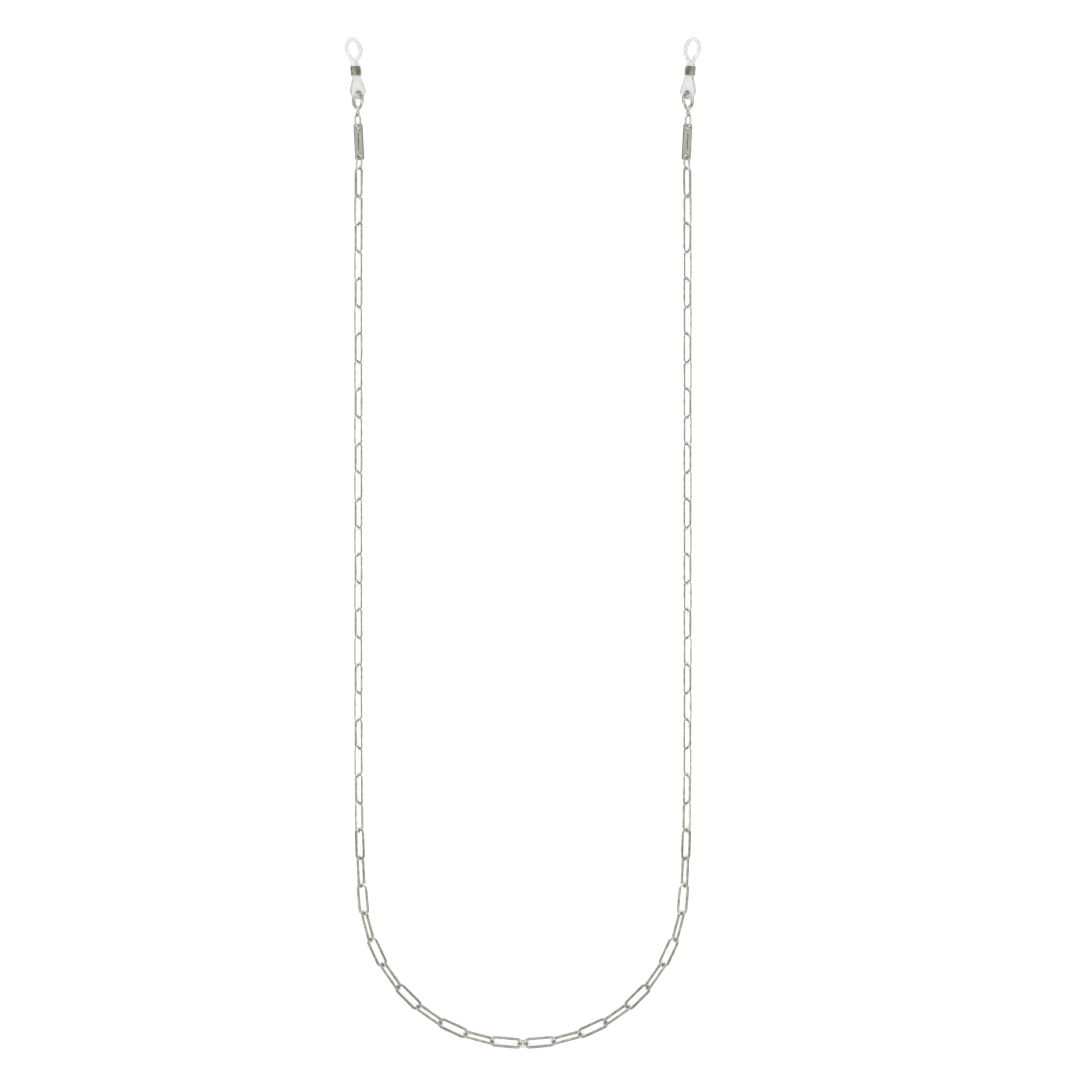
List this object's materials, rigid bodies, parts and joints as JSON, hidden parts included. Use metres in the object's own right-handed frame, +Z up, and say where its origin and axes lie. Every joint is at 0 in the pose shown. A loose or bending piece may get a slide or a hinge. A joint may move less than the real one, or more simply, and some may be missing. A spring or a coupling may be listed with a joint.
{
  "type": "eyeglasses chain strap",
  "caption": "Paperclip-link neck chain for eyeglasses, laid flat in a long U, with a tag, a ring and a silicone temple grip with a sliding ferrule at each end.",
  "frame": {"origin": "middle of the strap's length and width, on the surface that it lies on", "axes": "+Y along the strap towards the temple grips, +X across it, +Z up from the surface"},
  "size_m": [0.1192, 0.3384, 0.0054],
  "materials": {
    "chain_metal": "polished silver-coloured plating, slightly warm grey",
    "ring_metal": "polished silver-coloured plating",
    "tag_metal": "satin, brushed along its length",
    "ferrule_metal": "polished, slightly warm",
    "silicone": "clear milky silicone, satin"
  },
  "bodies": {
    "joining_ring": {"joining_ring": "ring_metal"},
    "left_bend_link_01": {"left_bend_link_01": "chain_metal"},
    "left_bend_link_02": {"left_bend_link_02": "chain_metal"},
    "left_bend_link_03": {"left_bend_link_03": "chain_metal"},
    "left_bend_link_04": {"left_bend_link_04": "chain_metal"},
    "left_bend_link_05": {"left_bend_link_05": "chain_metal"},
    "left_bend_link_06": {"left_bend_link_06": "chain_metal"},
    "left_bend_link_07": {"left_bend_link_07": "chain_metal"},
    "left_bend_link_08": {"left_bend_link_08": "chain_metal"},
    "left_bend_link_09": {"left_bend_link_09": "chain_metal"},
    "left_bend_link_10": {"left_bend_link_10": "chain_metal"},
    "left_bend_link_11": {"left_bend_link_11": "chain_metal"},
    "left_side_link_pair_01": {"left_side_link_pair_01": "chain_metal"},
    "left_side_link_pair_02": {"left_side_link_pair_02": "chain_metal"},
    "left_side_link_pair_03": {"left_side_link_pair_03": "chain_metal"},
    "left_side_link_pair_04": {"left_side_link_pair_04": "chain_metal"},
    "left_side_link_pair_05": {"left_side_link_pair_05": "chain_metal"},
    "left_side_link_pair_06": {"left_side_link_pair_06": "chain_metal"},
    "left_side_link_pair_07": {"left_side_link_pair_07": "chain_metal"},
    "left_side_link_pair_08": {"left_side_link_pair_08": "chain_metal"},
    "left_side_link_pair_09": {"left_side_link_pair_09": "chain_metal"},
    "left_side_link_pair_10": {"left_side_link_pair_10": "chain_metal"},
    "left_side_link_pair_11": {"left_side_link_pair_11": "chain_metal"},
    "left_side_link_pair_12": {"left_side_link_pair_12": "chain_metal"},
    "left_lower_jump_ring": {"left_lower_jump_ring": "ring_metal"},
    "left_tag": {"left_tag": "tag_metal"},
    "left_upper_jump_ring": {"left_upper_jump_ring": "ring_metal"},
    "left_ring_with_eye": {"left_ring_with_eye": "ring_metal"},
    "left_temple_grip": {"left_temple_grip": "silicone"},
    "left_ferrule": {"left_ferrule": "ferrule_metal"},
    "right_bend_link_01": {"right_bend_link_01": "chain_metal"},
    "right_bend_link_02": {"right_bend_link_02": "chain_metal"},
    "right_bend_link_03": {"right_bend_link_03": "chain_metal"},
    "right_bend_link_04": {"right_bend_link_04": "chain_metal"},
    "right_bend_link_05": {"right_bend_link_05": "chain_metal"},
    "right_bend_link_06": {"right_bend_link_06": "chain_metal"},
    "right_bend_link_07": {"right_bend_link_07": "chain_metal"},
    "right_bend_link_08": {"right_bend_link_08": "chain_metal"},
    "right_bend_link_09": {"right_bend_link_09": "chain_metal"},
    "right_bend_link_10": {"right_bend_link_10": "chain_metal"},
    "right_bend_link_11": {"right_bend_link_11": "chain_metal"},
    "right_side_link_pair_01": {"right_side_link_pair_01": "chain_metal"},
    "right_side_link_pair_02": {"right_side_link_pair_02": "chain_metal"},
    "right_side_link_pair_03": {"right_side_link_pair_03": "chain_metal"},
    "right_side_link_pair_04": {"right_side_link_pair_04": "chain_metal"},
    "right_side_link_pair_05": {"right_side_link_pair_05": "chain_metal"},
    "right_side_link_pair_06": {"right_side_link_pair_06": "chain_metal"},
    "right_side_link_pair_07": {"right_side_link_pair_07": "chain_metal"},
    "right_side_link_pair_08": {"right_side_link_pair_08": "chain_metal"},
    "right_side_link_pair_09": {"right_side_link_pair_09": "chain_metal"},
    "right_side_link_pair_10": {"right_side_link_pair_10": "chain_metal"},
    "right_side_link_pair_11": {"right_side_link_pair_11": "chain_metal"},
    "right_side_link_pair_12": {"right_side_link_pair_12": "chain_metal"},
    "right_lower_jump_ring": {"right_lower_jump_ring": "ring_metal"},
    "right_tag": {"right_tag": "tag_metal"},
    "right_upper_jump_ring": {"right_upper_jump_ring": "ring_metal"},
    "right_ring_with_eye": {"right_ring_with_eye": "ring_metal"},
    "right_temple_grip": {"right_temple_grip": "silicone"},
    "right_ferrule": {"right_ferrule": "ferrule_metal"}
  },
  "joints": [
    {"name": "left_link_01_swing", "type": "hinge", "parent": "joining_ring", "child": "left_bend_link_01", "pos_m": [-0.0015, -0.16744, 0.00173], "axis": [0, 0.4695, -0.8829], "range_deg": [-40, 18]},
    {"name": "left_link_02_swing", "type": "hinge", "parent": "left_bend_link_01", "child": "left_bend_link_02", "pos_m": [-0.0107, -0.16659, 0.00173], "axis": [0.0849, 0.9707, 0.225], "range_deg": [-75, 75]},
    {"name": "left_link_03_swing", "type": "hinge", "parent": "left_bend_link_02", "child": "left_bend_link_03", "pos_m": [-0.01959, -0.16413, 0.00173], "axis": [-0.1215, -0.4535, 0.8829], "range_deg": [-55, 75]},
    {"name": "left_link_04_swing", "type": "hinge", "parent": "left_bend_link_03", "child": "left_bend_link_04", "pos_m": [-0.02792, -0.16016, 0.00173], "axis": [-0.4118, -0.8831, -0.225], "range_deg": [-75, 75]},
    {"name": "left_link_05_swing", "type": "hinge", "parent": "left_bend_link_04", "child": "left_bend_link_05", "pos_m": [-0.03543, -0.1548, 0.00173], "axis": [0.2693, 0.3846, -0.8829], "range_deg": [-75, 75]},
    {"name": "left_link_06_swing", "type": "hinge", "parent": "left_bend_link_05", "child": "left_bend_link_06", "pos_m": [-0.0419, -0.14822, 0.00173], "axis": [0.689, 0.689, 0.225], "range_deg": [-75, 75]},
    {"name": "left_link_07_swing", "type": "hinge", "parent": "left_bend_link_06", "child": "left_bend_link_07", "pos_m": [-0.04713, -0.14061, 0.00173], "axis": [-0.3846, -0.2693, 0.8829], "range_deg": [-75, 75]},
    {"name": "left_link_08_swing", "type": "hinge", "parent": "left_bend_link_07", "child": "left_bend_link_08", "pos_m": [-0.05095, -0.13222, 0.00173], "axis": [-0.8831, -0.4118, -0.225], "range_deg": [-75, 75]},
    {"name": "left_link_09_swing", "type": "hinge", "parent": "left_bend_link_08", "child": "left_bend_link_09", "pos_m": [-0.05326, -0.12328, 0.00173], "axis": [0.4535, 0.1215, -0.8829], "range_deg": [-75, 75]},
    {"name": "left_link_10_swing", "type": "hinge", "parent": "left_bend_link_09", "child": "left_bend_link_10", "pos_m": [-0.05399, -0.11409, 0.00163], "axis": [0.9393, 0.0855, 0.3321], "range_deg": [-75, 75]},
    {"name": "left_link_11_swing", "type": "hinge", "parent": "left_bend_link_10", "child": "left_bend_link_11", "pos_m": [-0.05441, -0.10488, 0.00164], "axis": [-0.5701, -0.0274, 0.8211], "range_deg": [-75, 75]},
    {"name": "left_pair_01_swing", "type": "hinge", "parent": "left_bend_link_11", "child": "left_side_link_pair_01", "pos_m": [-0.05465, -0.09566, 0.00152], "axis": [-0.8457, -0.0286, -0.5328], "range_deg": [-75, 75]},
    {"name": "left_pair_02_swing", "type": "hinge", "parent": "left_side_link_pair_01", "child": "left_side_link_pair_02", "pos_m": [-0.05484, -0.07814, 0.00147], "axis": [0.7071, 0.0031, -0.7071], "range_deg": [-75, 75]},
    {"name": "left_pair_03_swing", "type": "hinge", "parent": "left_side_link_pair_02", "child": "left_side_link_pair_03", "pos_m": [-0.05491, -0.05878, 0.00147], "axis": [0.7071, 0.0017, 0.7071], "range_deg": [-75, 75]},
    {"name": "left_pair_04_swing", "type": "hinge", "parent": "left_side_link_pair_03", "child": "left_side_link_pair_04", "pos_m": [-0.05492, -0.04126, 0.00147], "axis": [-0.7071, -0.0003, 0.7071], "range_deg": [-75, 75]},
    {"name": "left_pair_05_swing", "type": "hinge", "parent": "left_side_link_pair_04", "child": "left_side_link_pair_05", "pos_m": [-0.05493, -0.0219, 0.00147], "axis": [-0.7071, -0.0002, -0.7071], "range_deg": [-75, 75]},
    {"name": "left_pair_06_swing", "type": "hinge", "parent": "left_side_link_pair_05", "child": "left_side_link_pair_06", "pos_m": [-0.05493, -0.00438, 0.00147], "axis": [0.7071, 0, -0.7071], "range_deg": [-75, 75]},
    {"name": "left_pair_07_swing", "type": "hinge", "parent": "left_side_link_pair_06", "child": "left_side_link_pair_07", "pos_m": [-0.05493, 0.01498, 0.00147], "axis": [0.7071, 0, 0.7071], "range_deg": [-75, 75]},
    {"name": "left_pair_08_swing", "type": "hinge", "parent": "left_side_link_pair_07", "child": "left_side_link_pair_08", "pos_m": [-0.05493, 0.0325, 0.00147], "axis": [-0.7071, 0, 0.7071], "range_deg": [-75, 75]},
    {"name": "left_pair_09_swing", "type": "hinge", "parent": "left_side_link_pair_08", "child": "left_side_link_pair_09", "pos_m": [-0.05493, 0.05186, 0.00147], "axis": [-0.7071, 0, -0.7071], "range_deg": [-75, 75]},
    {"name": "left_pair_10_swing", "type": "hinge", "parent": "left_side_link_pair_09", "child": "left_side_link_pair_10", "pos_m": [-0.05493, 0.06938, 0.00147], "axis": [0.7071, 0, -0.7071], "range_deg": [-75, 75]},
    {"name": "left_pair_11_swing", "type": "hinge", "parent": "left_side_link_pair_10", "child": "left_side_link_pair_11", "pos_m": [-0.05493, 0.08874, 0.00147], "axis": [0.7071, 0, 0.7071], "range_deg": [-75, 75]},
    {"name": "left_pair_12_swing", "type": "hinge", "parent": "left_side_link_pair_11", "child": "left_side_link_pair_12", "pos_m": [-0.05493, 0.10626, 0.00147], "axis": [-0.7071, 0, 0.7071], "range_deg": [-75, 75]},
    {"name": "left_lower_jump_ring_swing", "type": "hinge", "parent": "left_side_link_pair_12", "child": "left_lower_jump_ring", "pos_m": [-0.05493, 0.12562, 0.00147], "axis": [-0.7071, 0, -0.7071], "range_deg": [-75, 75]},
    {"name": "left_tag_swing", "type": "hinge", "parent": "left_lower_jump_ring", "child": "left_tag", "pos_m": [-0.05464, 0.1291, 0.00162], "axis": [0.5599, -0.0106, -0.8285], "range_deg": [-75, 75]},
    {"name": "left_upper_jump_ring_swing", "type": "hinge", "parent": "left_tag", "child": "left_upper_jump_ring", "pos_m": [-0.05515, 0.13924, 0.00191], "axis": [0.5581, 0.0665, -0.8271], "range_deg": [-75, 75]},
    {"name": "left_ring_with_eye_swing", "type": "hinge", "parent": "left_upper_jump_ring", "child": "left_ring_with_eye", "pos_m": [-0.05523, 0.14334, 0.00219], "axis": [-0.5581, -0.0665, 0.8271], "range_deg": [-75, 75]},
    {"name": "left_temple_grip_swing", "type": "hinge", "parent": "left_ring_with_eye", "child": "left_temple_grip", "pos_m": [-0.05508, 0.15032, 0.00302], "axis": [-0.6134, 0.108, -0.7824], "range_deg": [-75, 75]},
    {"name": "left_ferrule_slide", "type": "slide", "parent": "left_temple_grip", "child": "left_ferrule", "axis": [-0.1014, 0.9938, -0.046], "range_m": [-0.0004, 0.0009]},
    {"name": "right_link_01_swing", "type": "hinge", "parent": "joining_ring", "child": "right_bend_link_01", "pos_m": [0.0015, -0.16744, 0.00173], "axis": [0, -0.4695, 0.8829], "range_deg": [-40, 18]},
    {"name": "right_link_02_swing", "type": "hinge", "parent": "right_bend_link_01", "child": "right_bend_link_02", "pos_m": [0.0107, -0.16659, 0.00173], "axis": [0.0849, -0.9707, -0.225], "range_deg": [-75, 75]},
    {"name": "right_link_03_swing", "type": "hinge", "parent": "right_bend_link_02", "child": "right_bend_link_03", "pos_m": [0.01959, -0.16413, 0.00173], "axis": [-0.1215, 0.4535, -0.8829], "range_deg": [-55, 75]},
    {"name": "right_link_04_swing", "type": "hinge", "parent": "right_bend_link_03", "child": "right_bend_link_04", "pos_m": [0.02792, -0.16016, 0.00173], "axis": [-0.4118, 0.8831, 0.225], "range_deg": [-75, 75]},
    {"name": "right_link_05_swing", "type": "hinge", "parent": "right_bend_link_04", "child": "right_bend_link_05", "pos_m": [0.03543, -0.1548, 0.00173], "axis": [0.2693, -0.3846, 0.8829], "range_deg": [-75, 75]},
    {"name": "right_link_06_swing", "type": "hinge", "parent": "right_bend_link_05", "child": "right_bend_link_06", "pos_m": [0.0419, -0.14822, 0.00173], "axis": [0.689, -0.689, -0.225], "range_deg": [-75, 75]},
    {"name": "right_link_07_swing", "type": "hinge", "parent": "right_bend_link_06", "child": "right_bend_link_07", "pos_m": [0.04713, -0.14061, 0.00173], "axis": [-0.3846, 0.2693, -0.8829], "range_deg": [-75, 75]},
    {"name": "right_link_08_swing", "type": "hinge", "parent": "right_bend_link_07", "child": "right_bend_link_08", "pos_m": [0.05095, -0.13222, 0.00173], "axis": [-0.8831, 0.4118, 0.225], "range_deg": [-75, 75]},
    {"name": "right_link_09_swing", "type": "hinge", "parent": "right_bend_link_08", "child": "right_bend_link_09", "pos_m": [0.05326, -0.12328, 0.00173], "axis": [0.4535, -0.1215, 0.8829], "range_deg": [-75, 75]},
    {"name": "right_link_10_swing", "type": "hinge", "parent": "right_bend_link_09", "child": "right_bend_link_10", "pos_m": [0.05399, -0.11409, 0.00163], "axis": [0.9393, -0.0855, -0.3321], "range_deg": [-75, 75]},
    {"name": "right_link_11_swing", "type": "hinge", "parent": "right_bend_link_10", "child": "right_bend_link_11", "pos_m": [0.05441, -0.10488, 0.00164], "axis": [-0.5701, 0.0274, -0.8211], "range_deg": [-75, 75]},
    {"name": "right_pair_01_swing", "type": "hinge", "parent": "right_bend_link_11", "child": "right_side_link_pair_01", "pos_m": [0.05465, -0.09566, 0.00152], "axis": [-0.8457, 0.0286, 0.5328], "range_deg": [-75, 75]},
    {"name": "right_pair_02_swing", "type": "hinge", "parent": "right_side_link_pair_01", "child": "right_side_link_pair_02", "pos_m": [0.05484, -0.07814, 0.00147], "axis": [0.7071, -0.0031, 0.7071], "range_deg": [-75, 75]},
    {"name": "right_pair_03_swing", "type": "hinge", "parent": "right_side_link_pair_02", "child": "right_side_link_pair_03", "pos_m": [0.05491, -0.05878, 0.00147], "axis": [0.7071, -0.0017, -0.7071], "range_deg": [-75, 75]},
    {"name": "right_pair_04_swing", "type": "hinge", "parent": "right_side_link_pair_03", "child": "right_side_link_pair_04", "pos_m": [0.05492, -0.04126, 0.00147], "axis": [-0.7071, 0.0003, -0.7071], "range_deg": [-75, 75]},
    {"name": "right_pair_05_swing", "type": "hinge", "parent": "right_side_link_pair_04", "child": "right_side_link_pair_05", "pos_m": [0.05493, -0.0219, 0.00147], "axis": [-0.7071, 0.0002, 0.7071], "range_deg": [-75, 75]},
    {"name": "right_pair_06_swing", "type": "hinge", "parent": "right_side_link_pair_05", "child": "right_side_link_pair_06", "pos_m": [0.05493, -0.00438, 0.00147], "axis": [0.7071, 0, 0.7071], "range_deg": [-75, 75]},
    {"name": "right_pair_07_swing", "type": "hinge", "parent": "right_side_link_pair_06", "child": "right_side_link_pair_07", "pos_m": [0.05493, 0.01498, 0.00147], "axis": [0.7071, 0, -0.7071], "range_deg": [-75, 75]},
    {"name": "right_pair_08_swing", "type": "hinge", "parent": "right_side_link_pair_07", "child": "right_side_link_pair_08", "pos_m": [0.05493, 0.0325, 0.00147], "axis": [-0.7071, 0, -0.7071], "range_deg": [-75, 75]},
    {"name": "right_pair_09_swing", "type": "hinge", "parent": "right_side_link_pair_08", "child": "right_side_link_pair_09", "pos_m": [0.05493, 0.05186, 0.00147], "axis": [-0.7071, 0, 0.7071], "range_deg": [-75, 75]},
    {"name": "right_pair_10_swing", "type": "hinge", "parent": "right_side_link_pair_09", "child": "right_side_link_pair_10", "pos_m": [0.05493, 0.06938, 0.00147], "axis": [0.7071, 0, 0.7071], "range_deg": [-75, 75]},
    {"name": "right_pair_11_swing", "type": "hinge", "parent": "right_side_link_pair_10", "child": "right_side_link_pair_11", "pos_m": [0.05493, 0.08874, 0.00147], "axis": [0.7071, 0, -0.7071], "range_deg": [-75, 75]},
    {"name": "right_pair_12_swing", "type": "hinge", "parent": "right_side_link_pair_11", "child": "right_side_link_pair_12", "pos_m": [0.05493, 0.10626, 0.00147], "axis": [-0.7071, 0, -0.7071], "range_deg": [-75, 75]},
    {"name": "right_lower_jump_ring_swing", "type": "hinge", "parent": "right_side_link_pair_12", "child": "right_lower_jump_ring", "pos_m": [0.05493, 0.12562, 0.00147], "axis": [-0.7071, 0, 0.7071], "range_deg": [-75, 75]},
    {"name": "right_tag_swing", "type": "hinge", "parent": "right_lower_jump_ring", "child": "right_tag", "pos_m": [0.05464, 0.1291, 0.00162], "axis": [0.5599, 0.0106, 0.8285], "range_deg": [-75, 75]},
    {"name": "right_upper_jump_ring_swing", "type": "hinge", "parent": "right_tag", "child": "right_upper_jump_ring", "pos_m": [0.05515, 0.13924, 0.00191], "axis": [0.5581, -0.0665, 0.8271], "range_deg": [-75, 75]},
    {"name": "right_ring_with_eye_swing", "type": "hinge", "parent": "right_upper_jump_ring", "child": "right_ring_with_eye", "pos_m": [0.05523, 0.14334, 0.00219], "axis": [-0.5581, 0.0665, -0.8271], "range_deg": [-75, 75]},
    {"name": "right_temple_grip_swing", "type": "hinge", "parent": "right_ring_with_eye", "child": "right_temple_grip", "pos_m": [0.05508, 0.15032, 0.00302], "axis": [-0.6134, -0.108, 0.7824], "range_deg": [-75, 75]},
    {"name": "right_ferrule_slide", "type": "slide", "parent": "right_temple_grip", "child": "right_ferrule", "axis": [0.1014, 0.9938, -0.046], "range_m": [-0.0004, 0.0009]}
  ]
}
